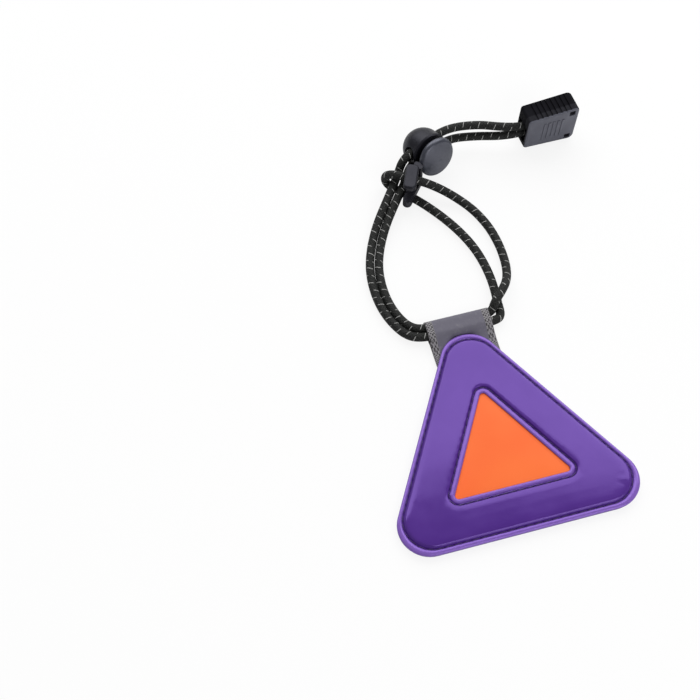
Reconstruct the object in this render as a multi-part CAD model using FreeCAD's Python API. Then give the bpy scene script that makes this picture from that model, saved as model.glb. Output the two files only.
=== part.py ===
"""Soft triangular reflector tag on a doubled elastic cord with a spring cord lock.

All sizes are in millimetres. The tag lies face up with its back on z = 0, its middle on the
origin and its apex towards +Y.
"""
import FreeCAD, Part
import math
import os

from FreeCAD import Vector

os.makedirs("parts", exist_ok=True)

# Pad: outline of an equilateral triangle with rounded corners
PAD_WIDTH = 79.24            # across the two lower corners
PAD_CORNER = 10.0            # corner radius of the outline
FILM = 0.6                   # thickness of the front and back film
RIM_HEIGHT = 2.7             # top of the rim outside the seam
CROWN_HEIGHT = 3.5           # top of the puffed ring
SEAM_INSET = 1.5             # outline to the middle of the perimeter seam
SEAM_FLOOR = 2.1             # top of the film in the perimeter seam
SHOULDER = 4.2               # outline to where the outer shoulder is level

# Window, its seam and the reflective insert
WINDOW_INRADIUS = 11.5       # middle to the cut edge of the window
WINDOW_CORNER = 1.2          # corner radius of the cut edge
WINDOW_BAND = 3.0            # height of the flat band round the window
WINDOW_SEAM = 1.9            # cut edge to the middle of the window seam
WINDOW_SHOULDER = 4.4        # cut edge to where the inner shoulder is level
SEAM_PRESS = 0.35            # how far the window seam presses the film down
INSERT_THICK = 0.5           # reflective film
INSERT_MARGIN = 2.4          # insert beyond the cut edge

# Sewing thread, seen as the raised part of each seam
THREAD_WIDTH = 0.5
THREAD_RISE = 0.36
BACK_GROOVE = 0.3            # depth of the seam's groove in the back film

# Strap: ribbon folded over the cord, both ends sewn in at the apex
STRAP_WIDTH = 22.0
STRAP_THICK = 0.45           # one layer
STRAP_TAIL = 11.5            # sewn-in length below the apex
STRAP_LEAD = 2.3             # apex to the nearer strand of cord
STRAP_ANGLE = 75.0           # wrap of the upper layer over the nearer strand, in degrees
STRAP_CLEAR = 0.15           # cord to strap

# Elastic cord
CORD_D = 3.0
CORD_CLEAR = 0.25            # radial room in the lock's holes
STRAND_PITCH = 3.12          # spacing of strands that lie side by side

# Cord lock: ball-shaped body, button that slides along the lock's own axis
LOCK_X = 8.3
LOCK_Y = 115.5
LOCK_AZIMUTH = -66.0         # heading of the button, in degrees
LOCK_TILT = 17.6             # rise of the button, in degrees
LOCK_R = 7.2
LOCK_HALF = 8.25             # half of the lock's length
BODY_FRONT = 3.0             # rim of the body ahead of the lock's middle
HOLE_OFFSET = 2.4            # holes to either side of the axis
HOLE_PLACE = -0.3            # holes along the axis, from the middle
BUTTON_TRAVEL = 2.0
PLUNGER_R = 4.6
PLUNGER_CLEAR = 0.05         # running fit of the plunger
PLUNGER_FLOOR = 1.2          # plunger behind its slots
CAP_GAP = 2.1                # body rim to cap at rest
SPRING_R = 2.0               # middle of the spring wire
SPRING_WIRE = 0.5
SPRING_TURNS = 3.5
POCKET_R = 2.6               # spring pocket
POCKET_FLOOR = 6.9           # pocket floor behind the middle

# Hook moulded on the lock body: lower prong, web and upper prong
HOOK_AZIMUTH = 231.0         # heading of the prongs, in degrees
PRONG_WIDTH = 3.2
PRONG_LENGTH = 22.5          # lock middle to the lower prong's tip
PRONG_BOTTOM = 3.2
PRONG_TOP = 6.3
TAB_BOTTOM = 10.3            # underside of the upper prong
TAB_THICK = 2.0
TAB_LENGTH = 10.2
TAB_WIDTH = 4.6
TAB_TURN = 15.0              # upper prong turned from the lower one, in degrees
HOOK_CLEAR = 0.35            # hook to the moving cap

# Cord end: tray and snap-on cover, standing on its narrow side
END_X = 53.2
END_Y = 114.9
END_AZIMUTH = 4.7            # heading of its length, in degrees
END_TILT = -3.3              # slope of its length, in degrees
END_ROLL = -1.7              # lean to the side, in degrees
END_LENGTH = 19.5
END_WIDTH = 14.5             # at the mouth
END_FAR_WIDTH = 17.0         # at the end away from the mouth
END_THICK = 8.2
END_COVER = 2.55             # thickness of the cover
END_CORNER = 2.2             # corners away from the mouth
END_LIP = 1.0                # corners at the mouth
END_ROUND = 0.9              # edges of the two broad faces
END_POCKET = 12.8            # depth of the cord pocket
END_MOUTH = 4.5              # depth of the wider mouth
END_GRIP = 8.6               # depth of the last bend of the cord in the pocket
END_DROP = 1.3               # cord pocket below the middle of the width
STRAND_GAP = 1.6             # strands to either side of the pocket's middle
SNAP_SIZE = 2.2              # window for a snap lug
SNAP_CLEAR = 0.1
GROOVE_COUNT = 8             # grip grooves on each narrow side
GROOVE_DEPTH = 0.4
RIB_COUNT = 5                # grip ribs on the cover

CORD_R = CORD_D / 2.0
TABLE = CORD_R               # middle of a strand that lies on the surface
PAD_INRADIUS = (PAD_WIDTH / 2.0 - PAD_CORNER) / math.sqrt(3.0) + PAD_CORNER
PAD_APEX = 2.0 * PAD_INRADIUS - PAD_CORNER


def rounded_triangle(inradius, corner, z=0.0):
    """Closed wire of a rounded equilateral triangle, from the middle of its lower side."""
    reach = 2.0 * (inradius - corner)
    edges = []
    last = Vector(0, -inradius, z)
    for heading in (330.0, 90.0, 210.0):
        centre = Vector(reach * math.cos(math.radians(heading)), reach * math.sin(math.radians(heading)), z)
        points = []
        for turn in (-60.0, 0.0, 60.0):
            angle = math.radians(heading + turn)
            points.append(centre + Vector(corner * math.cos(angle), corner * math.sin(angle), 0))
        edges.append(Part.makeLine(last, points[0]))
        edges.append(Part.Arc(points[0], points[1], points[2]).toShape())
        last = points[2]
    edges.append(Part.makeLine(last, Vector(0, -inradius, z)))
    return Part.Wire(edges)


def slab(inradius, corner, low, high):
    """Flat rounded triangle between two heights."""
    return Part.Face(rounded_triangle(inradius, corner, low)).extrude(Vector(0, 0, high - low))


def outline_wire(points, place):
    """Closed wire through points; a tuple of two points is an arc's middle and its end."""
    edges = []
    first = place(*points[0])
    last = first
    for item in points[1:] + [points[0]]:
        if isinstance(item[0], tuple):
            end = place(*item[1])
            edges.append(Part.Arc(last, place(*item[0]), end).toShape())
        else:
            end = place(*item)
            if (end - last).Length < 1e-7:
                continue
            edges.append(Part.makeLine(last, end))
        last = end
    return Part.Wire(edges)


def ring(inradius, corner, points, inward=1.0):
    """Profile of (distance from the path, height) points carried round a rounded triangle."""
    profile = outline_wire(points, lambda d, z: Vector(0, -inradius + inward * d, z))
    return rounded_triangle(inradius, corner).makePipeShell([profile], True, False)


def shoulder_arc(start, end):
    """Middle and end of an arc that rises from start and is level at end."""
    run = end[0] - start[0]
    rise = end[1] - start[1]
    radius = (run * run + rise * rise) / (2.0 * rise)
    sweep = math.atan2(run, radius - rise) / 2.0
    middle = (end[0] - radius * math.sin(sweep), end[1] - radius + radius * math.cos(sweep))
    return (middle, end)


def lower(points, amount):
    """The same profile points, lower by an amount."""
    moved = []
    for item in points:
        if isinstance(item[0], tuple):
            moved.append(tuple((x, z - amount) for x, z in item))
        else:
            moved.append((item[0], item[1] - amount))
    return moved


def backwards(points):
    """The same open run of points and arcs from its end to its start."""
    flat = [(item[1], item[0]) if isinstance(item[0], tuple) else (item, None) for item in points]
    turned = [flat[-1][0]]
    for index in range(len(flat) - 1, 0, -1):
        middle = flat[index][1]
        end = flat[index - 1][0]
        turned.append((middle, end) if middle else end)
    return turned


def save(shape, name):
    """Writes one node and prints its size."""
    shape.exportStep("parts/" + name + ".step")
    print("%-18s solids %d valid %s volume %.1f" % (name, len(shape.Solids), shape.isValid(), shape.Volume))


# Pad films and foam share one profile: rim, seam groove, shoulder
half_floor = THREAD_WIDTH / 2.0 + 0.1
outer_top = [
    (0.0, RIM_HEIGHT - FILM),
    ((0.24, RIM_HEIGHT - 0.17), (0.8, RIM_HEIGHT)),
    (SEAM_INSET - 2.0 * half_floor, RIM_HEIGHT),
    (SEAM_INSET - half_floor, SEAM_FLOOR),
    (SEAM_INSET + half_floor, SEAM_FLOOR),
    (SEAM_INSET + 0.6, SEAM_FLOOR + 0.65),
    shoulder_arc((SEAM_INSET + 0.6, SEAM_FLOOR + 0.65), (SHOULDER, CROWN_HEIGHT)),
]
outer_under = lower(outer_top, FILM)
seam_level = WINDOW_BAND - SEAM_PRESS
inner_start = (INSERT_MARGIN, WINDOW_BAND + 0.1)
inner_rise = shoulder_arc(inner_start, (WINDOW_SHOULDER, CROWN_HEIGHT))
inner_top = [
    (0.0, WINDOW_BAND),
    (WINDOW_SEAM - half_floor - 0.1, WINDOW_BAND),
    (WINDOW_SEAM - half_floor, seam_level),
    (WINDOW_SEAM + half_floor, seam_level),
    inner_start,
    inner_rise,
]
inner_under = [(0.0, WINDOW_BAND - FILM), (INSERT_MARGIN, WINDOW_BAND - FILM)]
inner_under += lower([inner_start, inner_rise], FILM)

ring_in = PAD_INRADIUS - SHOULDER
ring_in_corner = PAD_CORNER - SHOULDER
ring_out = WINDOW_INRADIUS + WINDOW_SHOULDER
ring_out_corner = WINDOW_CORNER + WINDOW_SHOULDER
insert_inradius = WINDOW_INRADIUS + INSERT_MARGIN
insert_corner = WINDOW_CORNER + INSERT_MARGIN

film_rim = ring(PAD_INRADIUS, PAD_CORNER, outer_top + backwards(outer_under))
film_crown = slab(ring_in, ring_in_corner, CROWN_HEIGHT - FILM, CROWN_HEIGHT)
film_crown = film_crown.cut(slab(ring_out, ring_out_corner, 0.0, 2.0 * CROWN_HEIGHT))
film_window = ring(WINDOW_INRADIUS, WINDOW_CORNER, inner_top + backwards(inner_under), -1.0)
front_panel = film_rim.fuse([film_crown, film_window]).removeSplitter()

foam_rim = ring(PAD_INRADIUS, PAD_CORNER, outer_under + [(SHOULDER, FILM), (0.0, FILM)])
foam_crown = slab(ring_in, ring_in_corner, FILM, CROWN_HEIGHT - FILM)
foam_crown = foam_crown.cut(slab(ring_out, ring_out_corner, 0.0, 2.0 * CROWN_HEIGHT))
foam_window_run = lower([inner_start, inner_rise], FILM)
foam_window_run += [(WINDOW_SHOULDER, FILM), (INSERT_MARGIN, FILM)]
foam_window = ring(WINDOW_INRADIUS, WINDOW_CORNER, foam_window_run, -1.0)
insert_under = WINDOW_BAND - FILM - INSERT_THICK
foam_middle = slab(insert_inradius, insert_corner, FILM, insert_under)
foam_pad = foam_rim.fuse([foam_crown, foam_window, foam_middle]).removeSplitter()

reflector_insert = slab(insert_inradius, insert_corner, insert_under, WINDOW_BAND - FILM)

# Seam threads: a raised thread in each groove, and the lower thread in the back film
half_thread = THREAD_WIDTH / 2.0


def thread_profile(middle, floor):
    """Half-round thread that lies on the floor of its groove."""
    side = floor + THREAD_RISE * 0.4
    return [
        (middle - half_thread, floor),
        (middle - half_thread, side),
        ((middle, floor + THREAD_RISE), (middle + half_thread, side)),
        (middle + half_thread, floor),
    ]


edge_thread = ring(PAD_INRADIUS, PAD_CORNER, thread_profile(SEAM_INSET, SEAM_FLOOR))
window_thread = ring(WINDOW_INRADIUS, WINDOW_CORNER, thread_profile(WINDOW_SEAM, seam_level), -1.0)
groove_run = [
    (SEAM_INSET - half_thread, -1.0),
    (SEAM_INSET + half_thread, -1.0),
    (SEAM_INSET + half_thread, BACK_GROOVE),
    (SEAM_INSET - half_thread, BACK_GROOVE),
]
back_run = [
    (SEAM_INSET - half_thread, 0.1),
    ((SEAM_INSET, 0.02), (SEAM_INSET + half_thread, 0.1)),
    (SEAM_INSET + half_thread, BACK_GROOVE),
    (SEAM_INSET - half_thread, BACK_GROOVE),
]
back_panel = slab(PAD_INRADIUS, PAD_CORNER, 0.0, FILM).cut(ring(PAD_INRADIUS, PAD_CORNER, groove_run))
back_thread = ring(PAD_INRADIUS, PAD_CORNER, back_run)

# Strap: two layers in the pad, opened into a loop round the two strands
strap_in = CORD_R + STRAP_CLEAR
strap_out = strap_in + STRAP_THICK
strand_z = strap_out
near_y = PAD_APEX + STRAP_LEAD
far_y = near_y + STRAND_PITCH
layers_low = FILM
layers_high = FILM + 2.0 * STRAP_THICK
wrap = math.radians(STRAP_ANGLE)
half_wrap = wrap / 2.0
strap_end = PAD_APEX - STRAP_TAIL


def round_near(radius, angle):
    """Point round the nearer strand, at an angle from straight up."""
    return (near_y - radius * math.sin(angle), strand_z + radius * math.cos(angle))


leave = round_near(strap_out, wrap)
fall = (leave[1] - layers_high) / math.tan(wrap)
inner_leave = round_near(strap_in, wrap)
cusp_z = STRAP_THICK + 0.4
inner_fall = (inner_leave[1] - cusp_z) / math.tan(wrap)
strap_outer = [
    (strap_end, layers_low),
    (PAD_APEX + 0.1, layers_low),
    (PAD_APEX + 1.0, 0.0),
    (far_y, 0.0),
    ((far_y + strap_out, strand_z), (far_y, strand_z + strap_out)),
    (near_y, strand_z + strap_out),
    (round_near(strap_out, half_wrap), leave),
    (leave[0] - fall, layers_high),
    (strap_end, layers_high),
]
strap_inner = [
    (inner_leave[0] - inner_fall, cusp_z),
    (near_y - 1.1, STRAP_THICK),
    (far_y, STRAP_THICK),
    ((far_y + strap_in, strand_z), (far_y, strand_z + strap_in)),
    (near_y, strand_z + strap_in),
    (round_near(strap_in, half_wrap), inner_leave),
]


def on_strap_side(y, z):
    """Point in the plane of the strap's left edge."""
    return Vector(-STRAP_WIDTH / 2.0, y, z)


across = Vector(STRAP_WIDTH, 0, 0)
strap = Part.Face(outline_wire(strap_outer, on_strap_side)).extrude(across)
strap = strap.cut(Part.Face(outline_wire(strap_inner, on_strap_side)).extrude(across))
foam_pad = foam_pad.cut(strap)

# Cord lock frame: x along the holes towards the tail, z along the button's axis
tilt = math.radians(LOCK_TILT)
heading = math.radians(LOCK_AZIMUTH)
axis_p = Vector(math.cos(heading) * math.cos(tilt), math.sin(heading) * math.cos(tilt), math.sin(tilt))
axis_t = Vector(-math.sin(heading), math.cos(heading), 0)
axis_q = axis_p.cross(axis_t)
ball_back = LOCK_HALF - LOCK_R
LOCK_Z = LOCK_R + ball_back * math.sin(tilt) + 0.02
lock_place = FreeCAD.Placement(Vector(LOCK_X, LOCK_Y, LOCK_Z), FreeCAD.Rotation(axis_t, axis_q, axis_p, "ZXY"))


def lock_point(t, q, p):
    """Point given along the holes, across them and along the button's axis."""
    return lock_place.multVec(Vector(t, q, p))


def turned(points):
    """Solid turned about the lock's axis from (radius, place) points."""
    face = Part.Face(outline_wire(points, lambda r, s: Vector(r, 0, s)))
    return face.revolve(Vector(0, 0, 0), Vector(0, 0, 1), 360)


def along_hole(radius, q, p, start, length):
    """Cylinder along a hole of the lock."""
    return Part.makeCylinder(radius, length, Vector(start, q, p), Vector(1, 0, 0))


bore_r = PLUNGER_R + PLUNGER_CLEAR
hole_r = CORD_R + CORD_CLEAR
slot_r = CORD_R + 0.1
plunger_end = HOLE_PLACE - slot_r - PLUNGER_FLOOR
bore_end = plunger_end - BUTTON_TRAVEL - 0.1
slot_top = HOLE_PLACE + BUTTON_TRAVEL
cap_back = BODY_FRONT + CAP_GAP
root_half = math.sqrt(0.5)
dome_edge = (LOCK_R - 0.9, LOCK_HALF - 0.85)
body = turned([
    (0.0, -LOCK_HALF),
    ((LOCK_R * root_half, -ball_back - LOCK_R * root_half), (LOCK_R, -ball_back)),
    (LOCK_R, BODY_FRONT - 0.6),
    (LOCK_R - 0.4, BODY_FRONT),
    (bore_r, BODY_FRONT),
    (bore_r, bore_end),
    (POCKET_R, bore_end),
    (POCKET_R, -POCKET_FLOOR),
    (0.0, -POCKET_FLOOR),
])
button = turned([
    (0.0, plunger_end - 0.7),
    (1.5, plunger_end - 0.7),
    (1.5, plunger_end),
    (PLUNGER_R, plunger_end),
    (PLUNGER_R, cap_back),
    (LOCK_R - 0.4, cap_back),
    (LOCK_R, cap_back + 0.6),
    ((LOCK_R - 0.2, dome_edge[1] - 0.6), dome_edge),
    shoulder_arc(dome_edge, (0.0, LOCK_HALF)),
])
passages = []
for side in (-HOLE_OFFSET, HOLE_OFFSET):
    passages.append(along_hole(hole_r, side, HOLE_PLACE, -1.2 * LOCK_R, 2.4 * LOCK_R))
    for way in (-1.0, 1.0):
        flare_start = Vector(way * 4.8, side, HOLE_PLACE)
        passages.append(Part.makeCone(hole_r, hole_r + 1.5, 3.8, flare_start, Vector(way, 0, 0)))
    slot_run = [
        (side - slot_r, slot_top),
        ((side, slot_top + slot_r), (side + slot_r, slot_top)),
        (side + slot_r, HOLE_PLACE),
        ((side, HOLE_PLACE - slot_r), (side - slot_r, HOLE_PLACE)),
    ]
    slot_face = Part.Face(outline_wire(slot_run, lambda q, p: Vector(-LOCK_R, q, p)))
    button = button.cut(slot_face.extrude(Vector(2.0 * LOCK_R, 0, 0)))
body = body.cut(passages)

# Spring between the pocket floor and the back of the plunger
spring_low = -POCKET_FLOOR + SPRING_WIRE / 2.0 + 0.05
spring_high = plunger_end - SPRING_WIRE / 2.0 - 0.05
pitch = (spring_high - spring_low) / SPRING_TURNS
helix = Part.makeHelix(pitch, spring_high - spring_low, SPRING_R)
wire_start = Vector(SPRING_R, 0, 0)
wire_way = Vector(0, 2.0 * math.pi * SPRING_R, pitch)
wire_round = Part.Wire(Part.makeCircle(SPRING_WIRE / 2.0, wire_start, wire_way))
lock_spring = Part.Wire(helix).makePipeShell([wire_round], True, True)
lock_spring.translate(Vector(0, 0, spring_low))

# Hook frame: x along the prongs, z up from the surface, below the lock's middle
hook_place = FreeCAD.Placement(Vector(LOCK_X, LOCK_Y, 0), FreeCAD.Rotation(Vector(0, 0, 1), HOOK_AZIMUTH))


def hook_point(d, e, z):
    """Point given along the prongs, to their left and up."""
    return hook_place.multVec(Vector(d, e, z))


half_prong = PRONG_WIDTH / 2.0
prong_mid = PRONG_LENGTH - half_prong
prong_left = 0.5
prong_right = prong_left + PRONG_WIDTH
prong_plan = [
    (5.2, -0.3),
    (prong_mid - 6.4, prong_left),
    (prong_mid, prong_left),
    ((PRONG_LENGTH, prong_left + half_prong), (prong_mid, prong_right)),
    (11.0, prong_right),
    (8.6, 1.6),
    (5.2, 1.6),
]
prong_wire = outline_wire(prong_plan, lambda d, e: Vector(d, e, PRONG_BOTTOM))
prong = Part.Face(prong_wire).extrude(Vector(0, 0, PRONG_TOP - PRONG_BOTTOM))
tab_top = TAB_BOTTOM + TAB_THICK
web = Part.makeBox(2.4, PRONG_WIDTH, tab_top - 0.5 - PRONG_BOTTOM, Vector(8.8, -0.2, PRONG_BOTTOM))
web = web.makeFillet(0.7, [edge for edge in web.Edges if abs(edge.tangentAt(edge.FirstParameter).z) > 0.9])
tab = Part.makeBox(TAB_LENGTH, TAB_WIDTH, TAB_THICK, Vector(0, -TAB_WIDTH / 2.0, TAB_BOTTOM))
tab = tab.makeFillet(1.6, [edge for edge in tab.Edges if abs(edge.tangentAt(edge.FirstParameter).z) > 0.9])
tab = tab.makeFillet(0.8, [edge for edge in tab.Edges if edge.BoundBox.ZMin > tab_top - 0.01])
tab.rotate(Vector(0, 0, 0), Vector(0, 0, 1), TAB_TURN)
tab.translate(Vector(10.4, -0.4, 0))
hook = prong.fuse([web, tab])
hook.Placement = hook_place

body.Placement = lock_place
button.Placement = lock_place
lock_spring.Placement = lock_place.multiply(lock_spring.Placement)
keep_clear = Part.makeCylinder(LOCK_R + HOOK_CLEAR, 4.0 * LOCK_HALF, Vector(0, 0, BODY_FRONT - 0.1))
bore_clear = Part.makeCylinder(bore_r + 0.3, BODY_FRONT - bore_end, Vector(0, 0, bore_end))
keep_clear = keep_clear.fuse([bore_clear] + passages)
keep_clear.Placement = lock_place
lock_body = body.fuse(hook.cut(keep_clear)).removeSplitter()

# Cord end frame: x from the mouth along its length, z across its width
slope = math.radians(END_TILT)
lean = math.radians(END_ROLL)
turn = math.radians(END_AZIMUTH)
axis_l = Vector(math.cos(turn) * math.cos(slope), math.sin(turn) * math.cos(slope), math.sin(slope))
level_side = Vector(-math.sin(turn), math.cos(turn), 0)
level_up = axis_l.cross(level_side)
axis_s = level_side * math.cos(lean) + level_up * math.sin(lean)
axis_u = axis_l.cross(axis_s)
end_turn = FreeCAD.Rotation(axis_l, axis_s, axis_u, "XZY")
half_t = END_THICK / 2.0


def end_half(depth):
    """Half the cord end's width at a depth from its mouth."""
    return (END_WIDTH + (END_FAR_WIDTH - END_WIDTH) * depth / END_LENGTH) / 2.0


near_half = end_half(0.0)
far_half = end_half(END_LENGTH)
corners = [(0.0, -near_half), (END_LENGTH, -far_half), (END_LENGTH, far_half), (0.0, near_half)]
face_wire = Part.makePolygon([Vector(x, -half_t, z) for x, z in corners + corners[:1]])
block = Part.Face(face_wire).extrude(Vector(0, END_THICK, 0))
upright = [edge for edge in block.Edges if abs(edge.tangentAt(edge.FirstParameter).y) > 0.9]
block = block.makeFillet(END_CORNER, [edge for edge in upright if edge.BoundBox.XMin > END_LENGTH / 2.0])
upright = [edge for edge in block.Edges if abs(edge.tangentAt(edge.FirstParameter).y) > 0.9]
block = block.makeFillet(END_LIP, [edge for edge in upright if edge.BoundBox.XMax < 0.01])
broad = [edge for edge in block.Edges if abs(edge.CenterOfMass.y) > half_t - 0.01]
block = block.makeFillet(END_ROUND, broad)
standing = block.copy()
standing.Placement = FreeCAD.Placement(Vector(0, 0, 0), end_turn)
end_middle = end_turn.multVec(Vector(END_LENGTH / 2.0, 0, 0))
end_base = Vector(END_X - end_middle.x, END_Y - end_middle.y, 0.02 - standing.BoundBox.ZMin)
end_place = FreeCAD.Placement(end_base, end_turn)


def end_point(depth, side, up):
    """Point given from the cord end's mouth, through its thickness and across its width."""
    return end_place.multVec(Vector(depth, side, up))


parting = END_COVER - half_t
pocket_half = STRAND_GAP + CORD_R + 0.08
pocket_start = Vector(0, parting, -pocket_half - END_DROP)
pocket = Part.makeBox(END_POCKET, -2.0 * parting, 2.0 * pocket_half, pocket_start)
mouth_t = half_t - 1.1
mouth_w = pocket_half + 0.6
mouth = Part.makeBox(END_MOUTH, 2.0 * mouth_t, 2.0 * mouth_w, Vector(0, -mouth_t, -mouth_w - END_DROP))
block = block.cut(mouth)
groove_step = (END_LENGTH - 5.2) / GROOVE_COUNT
for index in range(GROOVE_COUNT):
    start = 3.0 + index * groove_step
    side = end_half(start + groove_step * 0.2)
    for low in (side - GROOVE_DEPTH, -side - 1.0):
        groove = Part.makeBox(groove_step * 0.4, END_THICK, GROOVE_DEPTH + 1.0, Vector(start, -half_t, low))
        block = block.cut(groove)
cover_start = Vector(-END_LENGTH / 2.0, -half_t, -END_FAR_WIDTH)
cover_side = Part.makeBox(2.0 * END_LENGTH, END_COVER, 2.0 * END_FAR_WIDTH, cover_start)
cord_end_cover = block.common(cover_side)
cord_end_base = block.cut(cover_side).cut(pocket)
snap_x = END_LENGTH - 3.9
snap_z = end_half(snap_x) - 2.1
for up in (-snap_z, snap_z):
    low = up - SNAP_SIZE / 2.0
    window = Part.makeBox(SNAP_SIZE, END_COVER, SNAP_SIZE, Vector(snap_x, -half_t, low))
    cord_end_cover = cord_end_cover.cut(window)
    lug_size = SNAP_SIZE - 2.0 * SNAP_CLEAR
    lug_start = Vector(snap_x + SNAP_CLEAR, -half_t + 0.4, low + SNAP_CLEAR)
    lug = Part.makeBox(lug_size, END_COVER, lug_size, lug_start)
    cord_end_base = cord_end_base.fuse(lug)
rib_step = 8.6 / RIB_COUNT
rib_length = 0.58 * END_WIDTH
for index in range(RIB_COUNT):
    rib = Part.makeBox(0.8, 0.4, rib_length, Vector(6.2 + index * rib_step, -half_t - 0.2, -rib_length / 2.0))
    cord_end_cover = cord_end_cover.fuse(rib)
cord_end_base = cord_end_base.removeSplitter()
cord_end_base.Placement = end_place
cord_end_cover.Placement = end_place

# Cord route: one cord from the cord end, round the loop and back, as hand-chosen points
out_t = 10.4
back_t = 9.0
over_z = TAB_BOTTOM - 0.3 - CORD_R
main_z = (PRONG_BOTTOM + PRONG_TOP) / 2.0
bight_d = 15.5
bight_e = -8.7
route = [
    end_point(END_GRIP, 0.0, STRAND_GAP - END_DROP),
    end_point(0.6, 0.0, STRAND_GAP - END_DROP),
    Vector(37.0, 115.8, 9.9),
    Vector(28.4, 119.6, 9.6),
    lock_point(out_t, HOLE_OFFSET, HOLE_PLACE),
    lock_point(0.8, HOLE_OFFSET, HOLE_PLACE + 0.1),
    lock_point(-back_t - 0.2, HOLE_OFFSET, HOLE_PLACE),
    hook_point(13.0, -5.2, main_z),
    Vector(-9.9, 100.4, 4.1),
    Vector(-15.4, 93.2, 2.6),
    Vector(-19.7, 85.4, TABLE),
    Vector(-22.5, 77.6, TABLE),
    Vector(-23.5, 69.8, TABLE),
    Vector(-23.1, 62.2, TABLE),
    Vector(-21.2, 55.2, TABLE),
    Vector(-17.6, near_y + 2.35, TABLE + 0.2),
    Vector(-12.8, near_y, strand_z),
    Vector(-5.0, near_y - 0.05, strand_z),
    Vector(5.0, near_y + 0.05, strand_z),
    Vector(12.3, near_y - 0.05, strand_z),
    Vector(15.2, near_y + 1.3, TABLE + 0.1),
    Vector(15.6, near_y + 6.7, TABLE),
    Vector(16.3, 60.8, TABLE),
    Vector(15.9, 68.4, TABLE),
    Vector(14.4, 75.9, TABLE),
    Vector(11.6, 83.1, TABLE),
    Vector(7.7, 90.2, TABLE),
    Vector(3.0, 97.0, TABLE),
    hook_point(bight_d + 0.9, 0.6, TABLE),
    hook_point(bight_d, bight_e, TABLE),
    hook_point(bight_d - 0.4, bight_e, over_z),
    hook_point(bight_d - 1.9, 4.2, over_z),
    Vector(8.6, 100.3, 5.2),
    Vector(13.8, 96.8, 2.6),
    Vector(18.8, 90.6, TABLE),
    Vector(21.9, 82.6, TABLE),
    Vector(23.1, 74.6, TABLE),
    Vector(23.0, 67.4, TABLE),
    Vector(21.6, 61.5, 2.6),
    Vector(18.8, 56.6, 5.2),
    Vector(13.8, 51.8, 5.2),
    Vector(12.3, far_y, strand_z - 0.05),
    Vector(5.0, far_y + 0.05, strand_z),
    Vector(-5.0, far_y - 0.05, strand_z),
    Vector(-12.4, far_y, strand_z),
    Vector(-15.8, far_y + 2.53, TABLE + 0.2),
    Vector(-18.3, 56.8, TABLE),
    Vector(-20.0, 62.8, TABLE),
    Vector(-20.38, 69.7, TABLE),
    Vector(-19.45, 76.8, TABLE),
    Vector(-16.8, 84.15, TABLE),
    Vector(-12.7, 91.45, 2.6),
    Vector(-7.2, 98.7, 4.1),
    hook_point(14.4, -1.65, main_z),
    lock_point(-back_t + 1.7, -HOLE_OFFSET, HOLE_PLACE),
    lock_point(0.6, -HOLE_OFFSET, HOLE_PLACE + 0.1),
    lock_point(out_t, -HOLE_OFFSET, HOLE_PLACE),
    Vector(27.6, 117.6, 5.6),
    Vector(36.4, 114.5, 6.5),
    end_point(0.6, 0.0, -STRAND_GAP - END_DROP),
    end_point(END_GRIP, 0.0, -STRAND_GAP - END_DROP),
]


def cord_edges(points):
    """Straight runs joined by tangent arcs, with each arc's radius from the shorter run."""
    edges = []
    radii = []
    last = points[0]
    for index in range(1, len(points) - 1):
        before = points[index] - points[index - 1]
        after = points[index + 1] - points[index]
        reach = 0.45 * min(before.Length, after.Length)
        before.normalize()
        after.normalize()
        half = before.getAngle(after) / 2.0
        radius = reach / math.tan(half)
        start = points[index] - before * reach
        end = points[index] + after * reach
        inward = after - before
        inward.normalize()
        middle = points[index] + inward * (radius / math.cos(half) - radius)
        edges.append(Part.makeLine(last, start))
        edges.append(Part.Arc(start, middle, end).toShape())
        radii.append(radius)
        last = end
    edges.append(Part.makeLine(last, points[-1]))
    return edges, radii


edges, radii = cord_edges(route)
cord_path = Part.Wire(edges)
start_way = route[1] - route[0]
cord_round = Part.Wire(Part.makeCircle(CORD_R, route[0], start_way))
elastic_cord = cord_path.makePipeShell([cord_round], True, True)

nodes = {
    "back_panel": back_panel,
    "foam_pad": foam_pad,
    "reflector_insert": reflector_insert,
    "front_panel": front_panel,
    "edge_thread": edge_thread,
    "window_thread": window_thread,
    "back_thread": back_thread,
    "strap": strap,
    "elastic_cord": elastic_cord,
    "lock_body": lock_body,
    "lock_button": button,
    "lock_spring": lock_spring,
    "cord_end_base": cord_end_base,
    "cord_end_cover": cord_end_cover,
}
for name, shape in nodes.items():
    save(shape, name)

section = math.pi * CORD_R ** 2
print("cord length %.1f, volume over section x length %.3f" % (
    cord_path.Length, elastic_cord.Volume / (section * cord_path.Length)))
print("cord radii " + " ".join("%.1f" % radius for radius in radii))
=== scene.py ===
"""Soft triangular reflector tag on an elastic cord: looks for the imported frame.

Sizes in the classes are in millimetres, and every mesh is scaled to metres when it becomes an object.
The tag lies face up with its back on z = 0, its middle on the origin and its apex towards +Y.
"""
import logging
import math
from dataclasses import dataclass, replace
from enum import Enum
from typing import Sequence

import bmesh
import bpy
from bmesh.types import BMEdge, BMesh, BMVert
from bpy.types import Material, Node, NodeSocket, Object
from mathutils import Matrix, Vector


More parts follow.
